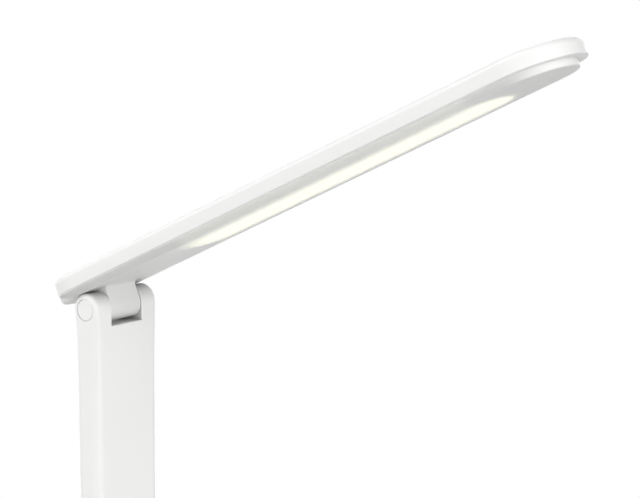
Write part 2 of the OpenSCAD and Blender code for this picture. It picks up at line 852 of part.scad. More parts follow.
module base_tray() {
    color("#dcdcda") difference() {
        union() {
            race(-base_y, base_y) slab(tray_r, cover_z, tray_z);
            race(-base_y, base_y)
                translate([tray_r - 1.4, tray_z - eps]) square([1.4, 1.6 + eps]);
            for (p = boss_places())
                translate([p[0], p[1], tray_z - eps]) cylinder(d = boss_d, h = 2);
            for (p = control_posts())
                translate([p[0], p[1], tray_z - eps]) cylinder(d = 5, h = post_h + eps);
            for (p = power_posts())
                translate([p[0], p[1], tray_z - eps]) cylinder(d = 4.4, h = post_h + eps);
        }
        for (p = boss_places()) {
            translate([p[0], p[1], 0]) cylinder(d = 3, h = tray_z + 3);
            translate([p[0], p[1], 0]) cylinder(d = 5.8, h = tray_z);
        }
        for (p = plate_screw_places()) {
            translate([p[0], p[1], 0]) cylinder(d = 3.4, h = tray_z + 1);
            translate([p[0], p[1], 0]) cylinder(d = 6, h = cover_z + 1.3);
        }
        for (p = concat(control_posts(), power_posts()))
            translate([p[0], p[1], tray_z - 1]) cylinder(d = 1.84, h = post_h + 2);
    }
}

function control_posts() = [for (x = [-1, 1], y = [-1, 1])
    [x * post_x, -button_y + y * post_dy]];

function power_posts() = [for (x = [-1, 1]) [x * (power_w / 2 - 2.6), power_y - power_l + 3]];

function plate_screw_places() = [for (x = [-1, 1], y = [bay_y1 + 10, weight_y1 + 5])
    [x * plate_screw_x, y]];

module base_pad() {
    color("#8a8c8e") race(-base_y, base_y) slab(tray_r - 1.5, 0, pad_t, bottom = 0.4);
}

module weight_plate() {
    color("#6f7275") difference() {
        translate([0, 0, tray_z]) linear_extrude(weight_t)
            difference() {
                race_plan(weight_r, weight_y0, weight_y1);
                translate([-bay_w / 2, bay_y0]) square([bay_w, bay_y1 - bay_y0]);
            }
        translate([-groove_w / 2, bay_y1 - 1, groove_z])
            cube([groove_w, arm_y - bay_y1 + 1 + groove_w, weight_t]);
        for (p = mount_screw_places())
            translate([p[0], p[1], 0]) cylinder(d = 4.04, h = weight_z + 1);
        for (p = plate_screw_places())
            translate([p[0], p[1], 0]) cylinder(d = 3.04, h = weight_z - 1);
    }
}

function mount_screw_places() = [for (x = [-1, 1], y = [-1, 1])
    [x * mount_x, arm_y + y * mount_dy]];

// Foot of the arm: a flange on the weight plate and the fixed knuckle of the lower hinge
module arm_mount() {
    root = foot_z - weight_z;
    color("#c4c6c9") difference() {
        union() {
            on_foot() mirror([0, 0, 1]) knuckle(foot_knuckle_r, root, 0);
            translate([0, arm_y, weight_z]) linear_extrude(mount_t) round_rect(mount_w, mount_l, 5);
        }
        on_foot() mirror([0, 0, 1]) knuckle_bores(root + 1);
        for (p = mount_screw_places())
            translate([p[0], p[1], weight_z - 1]) cylinder(d = 4.4, h = mount_t + 2);
    }
}

module lower_pin() { on_foot() mirror([0, 0, 1]) hinge_pin(); }
module lower_nut() { on_foot() hinge_nut(); }
module lower_springs() { on_foot() hinge_springs(); }
module lower_washers() { on_foot() hinge_washers(); }

// A screw pointing down from z, or up with its head below
module screw(places, z, head_d, head_t, shank_d, shank_l, up = false) {
    color(steel)
        for (p = places)
            translate([p[0], p[1], z]) mirror([0, 0, up ? 0 : 1]) {
                cylinder(d = shank_d, h = shank_l);
                mirror([0, 0, 1]) cylinder(d = head_d, h = head_t);
            }
}

module mount_screws() {
    screw(mount_screw_places(), weight_z + mount_t, mount_head_d, screw_head_t, 4,
        weight_t + mount_t - 1);
}

module plate_screws() {
    screw(plate_screw_places(), cover_z + 1.3, 5.4, 1.1, 3, tray_t + weight_t - 3, up = true);
}

module base_screws() {
    screw(boss_places(), tray_z, 5.2, 1.8, 2.6, roof_in - tray_z - 2, up = true);
}

module control_screws() {
    screw(control_posts(), control_z + control_t, 3.6, 1.2, 1.8, control_t + post_h - 0.2);
}

module power_screws() {
    screw(power_posts(), control_z + control_t, 3.4, 1.2, 1.8, control_t + post_h - 0.2);
}

// Printed board with its driver chip, coil and lead terminals
module control_board() {
    top = control_z + control_t;
    color("#2f6b45") difference() {
        union() {
            translate([-board_w2 / 2, -button_y - board_l2 / 2, control_z])
                cube([board_w2, board_l2, control_t]);
            translate([-3.5, -button_y - 15, top - eps]) cube([7, 7, 1.1]);
            translate([11, -button_y + 11, top - eps]) cylinder(d = 6, h = 3);
            translate([-14, -button_y + 11, top - eps]) cube([5, 4, 2.2]);
        }
        for (p = control_posts())
            translate([p[0], p[1], control_z - 1]) cylinder(d = 2.2, h = control_t + 2);
    }
}

module switches() {
    color("#3a3a3a")
        for (side = [-1, 1])
            translate([side * button_gap / 2, -button_y, control_z + control_t]) difference() {
                translate([-switch_w / 2, -switch_w / 2, 0]) cube([switch_w, switch_w, switch_h]);
                translate([0, 0, 0.6]) cylinder(d = plunger_d + 0.3, h = switch_h);
            }
}

module power_board() {
    color("#2f6b45") difference() {
        translate([-power_w / 2, power_y - power_l, control_z]) cube([power_w, power_l, control_t]);
        for (p = power_posts())
            translate([p[0], p[1], control_z - 1]) cylinder(d = 2.2, h = control_t + 2);
    }
}

// Receptacle: a drawn shell, its rear block and the contact tongue
module usb_inlet() {
    color(steel) translate([0, inlet_y, inlet_z]) {
        difference() {
            inlet_solid(inlet_w, inlet_h, inlet_l);
            translate([0, 1, 0]) inlet_solid(inlet_w - 0.6, inlet_h - 0.6, inlet_l - 0.4);
        }
        translate([-3.3, -inlet_l + 0.6, -0.35]) cube([6.6, inlet_l - 1.4, 0.7]);
    }
}

// Lead between the two boards, laid round the foot on the weight plate
module supply_lead() {
    low = control_z + control_t + lead_r;
    high = weight_z + lead_r;
    side = mount_w / 2 + 7;
    behind = power_y - power_l - 1.6;
    points = [[8.5, behind + 2.8, low], [8.5, behind, low], [side, behind, low],
        [side, behind - 9, high], [side, arm_y - mount_l, high], [18, bay_y1 - 1.5, high],
        [16, bay_y1 - 4, low], [16, bay_y1 - 9, low]];
    color("#303030") lead(route(points, 1), lead_d - 0.2);
}

// Lead from the control board, along the weight plate's groove and up the fixed knuckle to the pin
module feed_lead() {
    low = groove_z + groove_w / 2;
    points = [[0, -button_y + board_l2 / 2 - 2.5, low], [0, arm_y, low], [0, arm_y, foot_z],
        [seat_x + pin_head_t, arm_y, foot_z]];
    color("#303030") lead(route(points, 1), lead_d - 0.4);
}

// ---------- buttons ----------

module button(x) {
    color("#e6e6e4") translate([x, -button_y, 0]) {
        rotate_extrude() {
            slab(button_d / 2, button_under - button_flange, base_h + button_proud, top = 0.4);
            slab(button_flange_d / 2, button_under - button_flange, button_under);
        }
        translate([0, 0, plunger_z + plunger_h])
            cylinder(d = 5, h = button_under - plunger_z - plunger_h - button_flange + eps);
    }
}

module plunger(x) {
    color("#303030") translate([x, -button_y, plunger_z]) cylinder(d = plunger_d, h = plunger_h);
}

module power_button() { button(-button_gap / 2); }
module power_plunger() { plunger(-button_gap / 2); }
module mode_button() { button(button_gap / 2); }
module mode_plunger() { plunger(button_gap / 2); }

head_shell();
head_frame();
diffuser();
reflector();
led_board();
led_chips();
board_screws();
head_lead();
upper_pin();
upper_nut();
upper_springs();
upper_washers();
arm_shell();
arm_cover();
arm_lead();
upper_bushes();
upper_caps();
lower_bushes();
lower_caps();
foot_shroud();
base_cover();
base_tray();
base_pad();
weight_plate();
arm_mount();
lower_pin();
lower_nut();
lower_springs();
lower_washers();
mount_screws();
plate_screws();
base_screws();
control_board();
switches();
control_screws();
power_board();
power_screws();
usb_inlet();
supply_lead();
feed_lead();
power_button();
power_plunger();
mode_button();
mode_plunger();
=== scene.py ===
# %% [markdown]
# # Folding LED desk lamp
# The lamp's solids come ready made: housings, hinges, boards and leads, all in metres in one
# shared frame. This lesson dresses them. It lights them like a product on a white table, gives
# every piece a finish worked out by nodes, and adds the printed marks that solids don't carry.

import json
import math

import bpy
import numpy as np
from mathutils import Matrix, Vector


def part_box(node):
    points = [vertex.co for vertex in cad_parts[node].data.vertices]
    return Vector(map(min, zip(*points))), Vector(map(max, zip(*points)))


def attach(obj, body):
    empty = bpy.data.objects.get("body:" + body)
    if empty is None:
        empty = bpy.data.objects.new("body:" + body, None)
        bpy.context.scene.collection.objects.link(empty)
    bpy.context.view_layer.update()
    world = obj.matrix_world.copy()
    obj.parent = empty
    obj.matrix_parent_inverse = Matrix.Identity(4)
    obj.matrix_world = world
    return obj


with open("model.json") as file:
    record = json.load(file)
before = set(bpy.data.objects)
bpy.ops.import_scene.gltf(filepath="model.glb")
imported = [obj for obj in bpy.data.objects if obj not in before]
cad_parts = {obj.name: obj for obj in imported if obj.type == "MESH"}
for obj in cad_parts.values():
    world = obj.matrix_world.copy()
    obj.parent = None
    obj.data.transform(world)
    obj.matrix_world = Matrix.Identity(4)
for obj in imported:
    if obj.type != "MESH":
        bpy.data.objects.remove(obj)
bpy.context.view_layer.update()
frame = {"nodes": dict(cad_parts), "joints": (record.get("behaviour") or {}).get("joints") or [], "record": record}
nodes = frame["nodes"]
scene = bpy.context.scene
MM = 0.001

# %% [markdown]
# ## Where things are
# The upper hinge is the lamp's own landmark, so its place is read from its joint and never typed
# twice. The head's tilt is read from the solids in the same way: the board with the light sources
# is a long flat slab, and the slope of its longest run is the tilt.

# %% Upper hinge and the head's tilt
joint = {j["name"]: j for j in frame["joints"]}
head_axis = Vector(joint["head_tilt"]["pos_m"])


def node_points(name):
    """All corner points of a carried piece, as an array of rows."""
    mesh = nodes[name].data
    points = np.empty(len(mesh.vertices) * 3)
    mesh.vertices.foreach_get("co", points)
    return points.reshape(-1, 3)


def long_direction(points):
    """The direction in which a cloud of points is longest: the first axis of its scatter."""
    spread = points - points.mean(0)
    direction = np.linalg.svd(spread, full_matrices=False)[2][0]
    return direction if direction[1] < 0 else -direction


forward = long_direction(node_points("led_board"))
tilt = math.atan2(forward[2], -forward[1])
print("head tilt in degrees:", round(math.degrees(tilt), 2))

# %% [markdown]
# ## Camera
# A long lens flattens the lamp, as catalogue pictures do. Its place follows from four facts: the
# direction it looks from, its distance, its focal length, and where in the picture the upper
# hinge falls. Walking back from the hinge along the view, then sideways and up by the hinge's
# offset in the picture, gives the spot.

# %% Camera
PICTURE_W, PICTURE_H = 640, 498
FOCAL_PX = 3044.0
SENSOR_MM = 36.0
VIEW_AZIMUTH = 49.8             # degrees
VIEW_ELEVATION = 9.6
HINGE_PX = (115.28, 304.36)     # pixels across and down
HINGE_DEPTH = 1.4119            # metres along the view


def view_axes(azimuth, elevation):
    """Right, up and back directions of a camera or light that looks at the hinge.

    Angles are in degrees. Azimuth 0 is the front and 90 is the left. Back points from the hinge
    towards the viewer.
    """
    turn, rise = math.radians(azimuth), math.radians(elevation)
    s, c = math.sin(turn), math.cos(turn)
    se, ce = math.sin(rise), math.cos(rise)
    right = Vector((c, -s, 0))
    up = Vector((s * se, c * se, ce))
    back = Vector((-s * ce, -c * ce, se))
    return right, up, back


def put(name, data, place, axes):
    """A camera or light at a place; axes are its right, up and back directions."""
    obj = bpy.data.objects.new(name, data)
    obj.matrix_world = Matrix.Translation(place) @ Matrix(axes).transposed().to_4x4()
    scene.collection.objects.link(obj)
    return obj


right, up, back = view_axes(VIEW_AZIMUTH, VIEW_ELEVATION)
across = (HINGE_PX[0] - PICTURE_W / 2) * HINGE_DEPTH / FOCAL_PX
above = -(HINGE_PX[1] - PICTURE_H / 2) * HINGE_DEPTH / FOCAL_PX
place = head_axis + back * HINGE_DEPTH - right * across - up * above

camera_data = bpy.data.cameras.new("camera")
camera_data.sensor_fit = "HORIZONTAL"
camera_data.sensor_width = SENSOR_MM
camera_data.lens = FOCAL_PX / PICTURE_W * SENSOR_MM
camera_data.clip_end = 20
scene.camera = put("camera", camera_data, place, (right, up, back))
scene.view_settings.view_transform = "Standard"
print("camera at", [round(v, 4) for v in place], "lens", round(camera_data.lens, 1))

# %% [markdown]
# ## Node trees in few words
# Every finish below is a small node tree. The helper class adds a node, sets its plain values and
# joins its inputs, so that a material reads as a short list of steps.


# %% Helpers for node trees
NOISE_LOW, NOISE_HIGH = 0.3, 0.7    # most of a noise's values lie between these


class Tree:
    """A shader tree that is written as a list of steps.

    It starts empty, or with keep it goes on from what is there.
    """

    def __init__(self, data, keep=False):
        data.use_nodes = True
        self.tree = data.node_tree
        if not keep:
            self.tree.nodes.clear()

    def add(self, kind, settings=None, **inputs):
        """Adds a node. Inputs are named with _ for spaces, or i_ and a number.

        A socket is joined, and a plain value is set.
        """
        node = self.tree.nodes.new(kind)
        for key, value in (settings or {}).items():
            setattr(node, key, value)
        for key, value in inputs.items():
            spot = node.inputs[int(key[2:]) if key.startswith("i_") else key.replace("_", " ")]
            if isinstance(value, bpy.types.NodeSocket):
                self.tree.links.new(value, spot)
            else:
                spot.default_value = value
        return node

    def ramp(self, factor, stops):
        """A colour ramp with the given (position, colour) stops."""
        node = self.add("ShaderNodeValToRGB", Fac=factor)
        elements = node.color_ramp.elements
        while len(elements) < len(stops):
            elements.new(0.5)
        for element, (position, colour) in zip(elements, stops):
            element.position = position
            element.color = (*colour, 1)
        return node.outputs["Color"]

    def map(self, value, low, high, to_low, to_high):
        """Maps a value from one range to another, held at the ends."""
        node = self.add("ShaderNodeMapRange", Value=value, From_Min=low, From_Max=high,
                        To_Min=to_low, To_Max=to_high)
        return node.outputs["Result"]

    def math(self, operation, first, second=0.0):
        """One step of arithmetic."""
        node = self.add("ShaderNodeMath", {"operation": operation}, i_0=first, i_1=second)
        return node.outputs[0]


def new_material(name):
    """A material with an empty tree, and a point's place in the shared frame to start from."""
    material = bpy.data.materials.new(name)
    t = Tree(material)
    return material, t, t.add("ShaderNodeTexCoord").outputs["Object"]


def linear(*levels):
    """Screen levels from 0 to 255 as the linear light that a shader works in."""
    values = np.array(levels, float) / 255
    return tuple(np.where(values <= 0.04045, values / 12.92, ((values + 0.055) / 1.055) ** 2.4))


# %% [markdown]
# ## Light
# White things on a white ground are told apart by shade alone. The world is a dome that gives a
# little light from round the horizon, so no side goes black. The camera, mirror-like reflections
# and whatever is seen through glass get plain white instead. Broad, soft lamps do the modelling.
# The strongest stands high, to the left and a little behind, so that the head's overhanging edge
# throws its shadow on the narrow wall below it. Three in front light the head's tip and the front
# of the arm. A small weak one close by, below the hinge, lifts the faces that look down. One more
# fills in the far side.

# %% World dome
DOME = ((0.3, 0.0), (0.5, 0.25), (0.9, 0.0))    # height, 0 straight down to 1 straight up, and level

world = bpy.data.worlds.new("dome")
scene.world = world
tree = Tree(world)
towards = tree.add("ShaderNodeTexCoord").outputs["Generated"]
height = tree.add("ShaderNodeSeparateXYZ", Vector=towards).outputs["Z"]
shade = tree.ramp(tree.map(height, -1, 1, 0, 1), [(at, (level,) * 3) for at, level in DOME])
dome = tree.add("ShaderNodeBackground", Color=shade, Strength=1.0)
plain = tree.add("ShaderNodeBackground", Color=(1, 1, 1, 1), Strength=1.0)
path = tree.add("ShaderNodeLightPath")
seen = tree.math("MAXIMUM", path.outputs["Is Camera Ray"], path.outputs["Is Transmission Ray"])
seen = tree.math("MAXIMUM", seen, path.outputs["Is Glossy Ray"])
mixed = tree.add("ShaderNodeMixShader", Fac=seen, i_1=dome.outputs[0], i_2=plain.outputs[0])
tree.add("ShaderNodeOutputWorld", Surface=mixed.outputs[0])
print("dome level at the horizon:", max(level for at, level in DOME))

# %% Soft lamps
LAMPS = {                       # azimuth and elevation in degrees, metres away, size in metres, watts
    "front": (0, 30, 1.6, 0.9, 4.7),
    "front_left": (20, 24, 1.6, 0.9, 10.0),
    "level_left": (60, 0, 1.6, 0.9, 3.3),
    "left_rear": (140, 36, 1.6, 0.9, 21.9),
    "far_side": (255, 8, 1.6, 0.9, 6.0),
    "from_below": (30, -20, 0.78, 0.3, 1.08),
}


def soft_lamp(name, azimuth, elevation, distance, size, watts):
    """A square lamp that looks at the upper hinge."""
    axes = view_axes(azimuth, elevation)
    data = bpy.data.lights.new(name, "AREA")
    data.size = size
    data.energy = watts
    put(name, data, head_axis + axes[2] * distance, axes)


for name, numbers in LAMPS.items():
    soft_lamp(name, *numbers)
print("lamps:", sorted(LAMPS))

# %% [markdown]
# ## Table
# The floor is a pale disc that fades to nothing before its rim, so no horizon shows. It is a
# grid in polar form: rings times spokes.


# %% Floor disc
def add_mesh(name, points, faces):
    """A mesh object from an array of points and a list of faces."""
    mesh = bpy.data.meshes.new(name)
    mesh.from_pydata(points.tolist(), [], faces)
    mesh.update()
    obj = bpy.data.objects.new(name, mesh)
    scene.collection.objects.link(obj)
    return obj


def grid_faces(rows, columns, wrap_columns=False, wrap_rows=False):
    """Quads of a grid of points stored row by row; a wrapped side closes on its first line."""
    i = np.arange(rows if wrap_rows else rows - 1)[:, None]
    j = np.arange(columns if wrap_columns else columns - 1)[None, :]
    a = i * columns + j
    b = i * columns + (j + 1) % columns
    c = ((i + 1) % rows) * columns + (j + 1) % columns
    d = ((i + 1) % rows) * columns + j
    return np.stack([a, b, c, d], -1).reshape(-1, 4).tolist()


FLOOR_R = 0.62
FLOOR_HOLE_R = 0.001            # a pinhole under the base keeps the innermost faces four-sided
FLOOR_RINGS = 12
FLOOR_SPOKES = 96
FADE_FROM, FADE_TO = 0.55, 0.98     # shares of the radius between which the floor fades out
PAPER_LOW, PAPER_HIGH = (246,) * 3, (249,) * 3

rings = np.linspace(FLOOR_HOLE_R, FLOOR_R, FLOOR_RINGS)[:, None]
turn = np.linspace(0, 2 * np.pi, FLOOR_SPOKES, endpoint=False)[None, :]
disc = np.stack([rings * np.cos(turn), rings * np.sin(turn), 0 * rings * turn], -1).reshape(-1, 3)
floor = add_mesh("floor", disc, grid_faces(FLOOR_RINGS, FLOOR_SPOKES, wrap_columns=True))

paper, tree, spot = new_material("paper")
reach = tree.add("ShaderNodeVectorMath", {"operation": "LENGTH"}, i_0=spot).outputs["Value"]
grain = tree.add("ShaderNodeTexNoise", Vector=spot, Scale=40.0, Detail=3.0).outputs["Fac"]
pale = tree.ramp(grain, [(NOISE_LOW, linear(*PAPER_LOW)), (NOISE_HIGH, linear(*PAPER_HIGH))])
surface = tree.add("ShaderNodeBsdfDiffuse", Color=pale)
clear = tree.add("ShaderNodeBsdfTransparent")
edge = tree.map(reach, FLOOR_R * FADE_FROM, FLOOR_R * FADE_TO, 0, 1)
mixed = tree.add("ShaderNodeMixShader", Fac=edge, i_1=surface.outputs[0], i_2=clear.outputs[0])
tree.add("ShaderNodeOutputMaterial", Surface=mixed.outputs[0])
floor.data.materials.append(paper)
print("floor faces:", len(floor.data.polygons))

# %% [markdown]
# ## Moulded plastic
# The housings are injection moulded in white and lightly textured: soft highlights, no mirror.
# Three noises do it. A broad one drifts the colour by a level or two, as the melt cools
# unevenly. A middle one varies the gloss. A fine one, a few tenths of a millimetre across, is
# the texture of the mould itself and goes in as bump. The arm's white also gets painted shade
# deep in a gap, such as the one between the fork's ears and the head, from ambient occlusion.


# %% Plastic finish
DRIFT_SCALE = 9.0               # noise cells to the metre
DRIFT_LOW, DRIFT_HIGH = 0.35, 0.65  # values of that noise that take the darkest and the full colour
GLOSS_SCALE = 160.0
GLOSS_SWING = 0.04              # how far the roughness strays from its middle
PLASTIC_SPECULAR = 0.3
RELIEF = 0.02 * MM              # depth of the mould's texture, and of tool marks in metal
# Painted shade in gaps: ambient occlusion darkens the colour where other surfaces close in.
PAINTED_SHADE_REACH = 16 * MM          # how far off another surface still counts as closing a gap
PAINTED_SHADE_SAMPLES = 16


def moulded(name, colour, rough, grain_mm=0.35, bump=0.12, drift=2.0, gap_painted_shade=0.0):
    """A moulded plastic: drifting colour, uneven gloss, fine mould texture.

    drift is in screen levels. The last argument is the share of the colour that is lost to
    painted shade deep in a gap; it fades out in the open.
    """
    material, t, where = new_material(name)
    broad = t.add("ShaderNodeTexNoise", Vector=where, Scale=DRIFT_SCALE, Detail=2.0).outputs["Fac"]
    middle = t.add("ShaderNodeTexNoise", Vector=where, Scale=GLOSS_SCALE, Detail=3.0).outputs["Fac"]
    grains = 1 / (grain_mm * MM)
    fine = t.add("ShaderNodeTexNoise", Vector=where, Scale=grains, Detail=2.0).outputs["Fac"]
    low = linear(*[max(c - drift, 0) for c in colour])
    high = linear(*colour)
    tint = t.ramp(broad, [(DRIFT_LOW, low), (DRIFT_HIGH, high)])
    # Painted shade: the colour is darkened where ambient occlusion finds surfaces close by.
    if gap_painted_shade:
        gap = t.add("ShaderNodeAmbientOcclusion", {"samples": PAINTED_SHADE_SAMPLES}, Distance=PAINTED_SHADE_REACH)
        depth = t.map(gap.outputs["AO"], 0, 1, 1 - gap_painted_shade, 1)
        tint = t.add("ShaderNodeVectorMath", {"operation": "SCALE"}, i_0=tint, Scale=depth).outputs[0]
    shine = t.map(middle, NOISE_LOW, NOISE_HIGH, rough - GLOSS_SWING, rough + GLOSS_SWING)
    relief = t.add("ShaderNodeBump", Strength=bump, Distance=RELIEF, Height=fine)
    shader = t.add("ShaderNodeBsdfPrincipled", Base_Color=tint, Roughness=shine,
                   Normal=relief.outputs[0])
    shader.inputs["Specular IOR Level"].default_value = PLASTIC_SPECULAR
    t.add("ShaderNodeOutputMaterial", Surface=shader.outputs[0])
    return material


housing = moulded("housing_white", (248, 248, 247), 0.42)
# The arm's white gets painted shade in gaps, such as where the ears close up to the head.
arm_white = moulded("arm_white", (248, 248, 247), 0.42, gap_painted_shade=0.7)
tray_white = moulded("tray_white", (232, 232, 231), 0.6, grain_mm=0.6, bump=0.3)
reflector_white = moulded("reflector_white", (250, 250, 250), 0.7, bump=0.1)
button_white = moulded("button_white", (243, 243, 242), 0.35, grain_mm=0.25, bump=0.08)
nylon = moulded("nylon", (222, 221, 212), 0.5, drift=6.0)
switch_black = moulded("switch_black", (38, 38, 40), 0.5, drift=6.0)
lead_black = moulded("lead_black", (28, 28, 30), 0.55, grain_mm=0.5, drift=5.0)
pad_grey = moulded("pad_grey", (112, 114, 116), 0.85, grain_mm=1.4, bump=0.8, drift=8.0)
print("moulded finishes ready")

# %% [markdown]
# ## Metal
# Turned and rolled parts keep the marks of their making: fine lines along one direction. A noise
# squeezed along that direction varies the gloss and adds the faint relief.


# %% Metal finish
MARK_SHADE = 0.93               # share of the colour that is left in the depth of a tool mark
MARK_SMOOTHER, MARK_ROUGHER = 0.06, 0.08


def metal(name, colour, rough, squeeze=(1, 1, 14), scale=260.0, bump=0.15):
    """A metal with fine tool marks: a noise stretched along one axis."""
    material, t, where = new_material(name)
    marks_at = t.add("ShaderNodeMapping", Vector=where, Scale=squeeze).outputs[0]
    marks = t.add("ShaderNodeTexNoise", Vector=marks_at, Scale=scale, Detail=4.0).outputs["Fac"]
    low = linear(*[c * MARK_SHADE for c in colour])
    tint = t.ramp(marks, [(NOISE_LOW, low), (NOISE_HIGH, linear(*colour))])
    shine = t.map(marks, NOISE_LOW, NOISE_HIGH, rough - MARK_SMOOTHER, rough + MARK_ROUGHER)
    relief = t.add("ShaderNodeBump", Strength=bump, Distance=RELIEF, Height=marks)
    shader = t.add("ShaderNodeBsdfPrincipled", Base_Color=tint, Roughness=shine, Metallic=1.0,
                   Normal=relief.outputs[0])
    t.add("ShaderNodeOutputMaterial", Surface=shader.outputs[0])
    return material


steel = metal("turned_steel", (196, 198, 201), 0.3, squeeze=(14, 1, 1))
spring_steel = metal("spring_steel", (150, 151, 156), 0.35)
zinc = metal("zinc_plate", (188, 190, 192), 0.4)
brass = metal("turned_brass", (206, 172, 104), 0.32, squeeze=(14, 1, 1))
cast = metal("cast_mount", (198, 200, 203), 0.5, squeeze=(1, 1, 1), scale=500.0, bump=0.4)
black_plate = metal("black_plate", (84, 86, 90), 0.6, squeeze=(1, 8, 1), scale=120.0)
nickel = metal("nickel_shell", (205, 206, 206), 0.25)
print("metal finishes ready")

# %% [markdown]
# ## The lit window
# The opal diffuser glows evenly, a little warm, and falls off in the last few millimetres before
# its rim, where the plate behind it ends. The white frame round it is no lamp, but it is given
# a faint painted glow next to the window. Both need the same number: how far a point lies from
# the window's outline. The outline is two half circles on a straight run, so the distance is
# that to the middle line, less the half width. The outlines used for the two are moved a little
# sideways, so that the glow falls off slowly on the left and the painted frame glow is stronger there.

# %% Window measures
WINDOW_R = 13.7 * MM            # half of the window's width
lens_points = node_points("diffuser") - np.array(head_axis)
along = lens_points @ np.array([0, -math.cos(tilt), math.sin(tilt)])
flange_r = float(lens_points[:, 0].max())
window_mid = (float(along.min()) + flange_r, float(along.max()) - flange_r)
print("window's middle line from", [round(v / MM, 1) for v in window_mid], "mm")


def window_distance(t, shift):
    """Nodes for the signed distance to the window's outline, negative inside, in metres.

    The point is moved to the hinge axis and turned by the head's tilt, so that x lies across the
    head and y along it. The distance is the length of (x, y less its nearest value on the middle
    line), minus the window's half width. shift moves the outline along x.
    """
    where = t.add("ShaderNodeTexCoord").outputs["Object"]
    moved = t.add("ShaderNodeVectorMath", {"operation": "SUBTRACT"}, i_0=where,
                  i_1=tuple(head_axis)).outputs[0]
    turned = t.add("ShaderNodeVectorRotate", {"rotation_type": "X_AXIS"}, Vector=moved,
                   Angle=tilt).outputs[0]
    parts = t.add("ShaderNodeSeparateXYZ", Vector=turned)
    ahead = t.math("MULTIPLY", parts.outputs["Y"], -1.0)
    nearest = t.add("ShaderNodeClamp", Value=ahead, Min=window_mid[0], Max=window_mid[1]).outputs[0]
    past = t.math("SUBTRACT", ahead, nearest)
    across = t.math("SUBTRACT", parts.outputs["X"], shift)
    flat = t.add("ShaderNodeCombineXYZ", X=across, Y=past)
    length = t.add("ShaderNodeVectorMath", {"operation": "LENGTH"}, i_0=flat.outputs[0])
    return t.math("SUBTRACT", length.outputs["Value"], WINDOW_R)


# %% Glowing diffuser and the frame round it
GLOW = (0.72, 0.72, 0.62)       # the reflected light adds the rest
GLOW_AT_RIM = 0.66              # share of it that is left at the window's left rim
GLOW_FADE = 5.0 * MM            # width of the band in which it falls off
GLOW_SHIFT = 3.0 * MM           # how far the glow's outline sits to one side of the window's
SPECKLE_SCALE = 900.0
OPAL_LOW, OPAL_HIGH = (150, 150, 146), (158, 158, 154)
# Painted glow on the frame next to the window: the frame is no lamp.
PAINTED_GLOW_COLOUR = (252, 255, 224)
PAINTED_GLOW_AT_RIM = 0.19              # strength of the painted frame glow at the window's rim
PAINTED_GLOW_REACH = 6.0 * MM           # distance at which it has faded out
PAINTED_GLOW_SHIFT = -2.5 * MM

opal, t, where = new_material("opal_lit")
gap = window_distance(t, GLOW_SHIFT)
fade = t.map(gap, -GLOW_FADE, GLOW_SHIFT, 1.0, GLOW_AT_RIM)     # the left rim lies at GLOW_SHIFT
speckle = t.add("ShaderNodeTexNoise", Vector=where, Scale=SPECKLE_SCALE).outputs["Fac"]
tint = t.ramp(speckle, [(0.2, linear(*OPAL_LOW)), (0.8, linear(*OPAL_HIGH))])
shader = t.add("ShaderNodeBsdfPrincipled", Base_Color=tint, Emission_Color=(*GLOW, 1),
               Emission_Strength=fade, Roughness=0.5)
t.add("ShaderNodeOutputMaterial", Surface=shader.outputs[0])

frame_white_and_glow = moulded("frame_white_and_glow", (233, 233, 232), 0.42)
shader = next(n for n in frame_white_and_glow.node_tree.nodes if n.type == "BSDF_PRINCIPLED")
t = Tree(frame_white_and_glow, keep=True)
# Painted glow: the frame's white gets a faint emission next to the window, though the frame is no lamp.
gap = window_distance(t, PAINTED_GLOW_SHIFT)
painted_glow = t.add("ShaderNodeMapRange", {"interpolation_type": "SMOOTHERSTEP"}, Value=gap,
             From_Min=PAINTED_GLOW_SHIFT, From_Max=PAINTED_GLOW_REACH, To_Min=PAINTED_GLOW_AT_RIM, To_Max=0.0).outputs["Result"]
t.tree.links.new(painted_glow, shader.inputs["Emission Strength"])
shader.inputs["Emission Color"].default_value = (*linear(*PAINTED_GLOW_COLOUR), 1)
frame_white_and_glow.cycles.emission_sampling = "NONE"      # too faint to be counted among the lamps
print("diffuser glow and frame glow ready")

# %% [markdown]
# ## Boards
# The printed boards are green lacquer over copper: broad blocks of slightly lighter green where
# the copper lies. A brick pattern gives the straight edges of copper areas. The LED board is
# white, and its chips are yellow with phosphor.


# %% Board finishes
COPPER_SCALE = 90.0             # one brick is 1 / 180 m long and 1 / 360 m high
COPPER_GAP = 0.012              # width of the line between two bricks, on the same scale
GAP_SHADE = 0.85                # share of the colour that is left between two areas
CLOUD_SCALE = 300.0
LACQUER_SMOOTHER, LACQUER_ROUGHER = 0.05, 0.1


def lacquer(name, colour, copper, rough=0.35):
    """Solder lacquer: two close tones in straight-edged areas under one gloss."""
    material, t, where = new_material(name)
    bricks = t.add("ShaderNodeTexBrick", Vector=where, Scale=COPPER_SCALE, Mortar_Size=COPPER_GAP)
    bricks.inputs["Color1"].default_value = (*linear(*colour), 1)
    bricks.inputs["Color2"].default_value = (*linear(*copper), 1)
    bricks.inputs["Mortar"].default_value = (*linear(*[c * GAP_SHADE for c in colour]), 1)
    cloud = t.add("ShaderNodeTexNoise", Vector=where, Scale=CLOUD_SCALE).outputs["Fac"]
    shine = t.map(cloud, NOISE_LOW, NOISE_HIGH, rough - LACQUER_SMOOTHER,
                  rough + LACQUER_ROUGHER)
    shader = t.add("ShaderNodeBsdfPrincipled", Base_Color=bricks.outputs["Color"], Roughness=shine)
    t.add("ShaderNodeOutputMaterial", Surface=shader.outputs[0])
    return material


board_green = lacquer("board_green", (34, 96, 60), (44, 112, 70))
board_white = lacquer("board_white", (232, 233, 230), (240, 240, 237), rough=0.45)
phosphor = moulded("phosphor", (250, 224, 140), 0.4, drift=10.0)
print("board finishes ready")
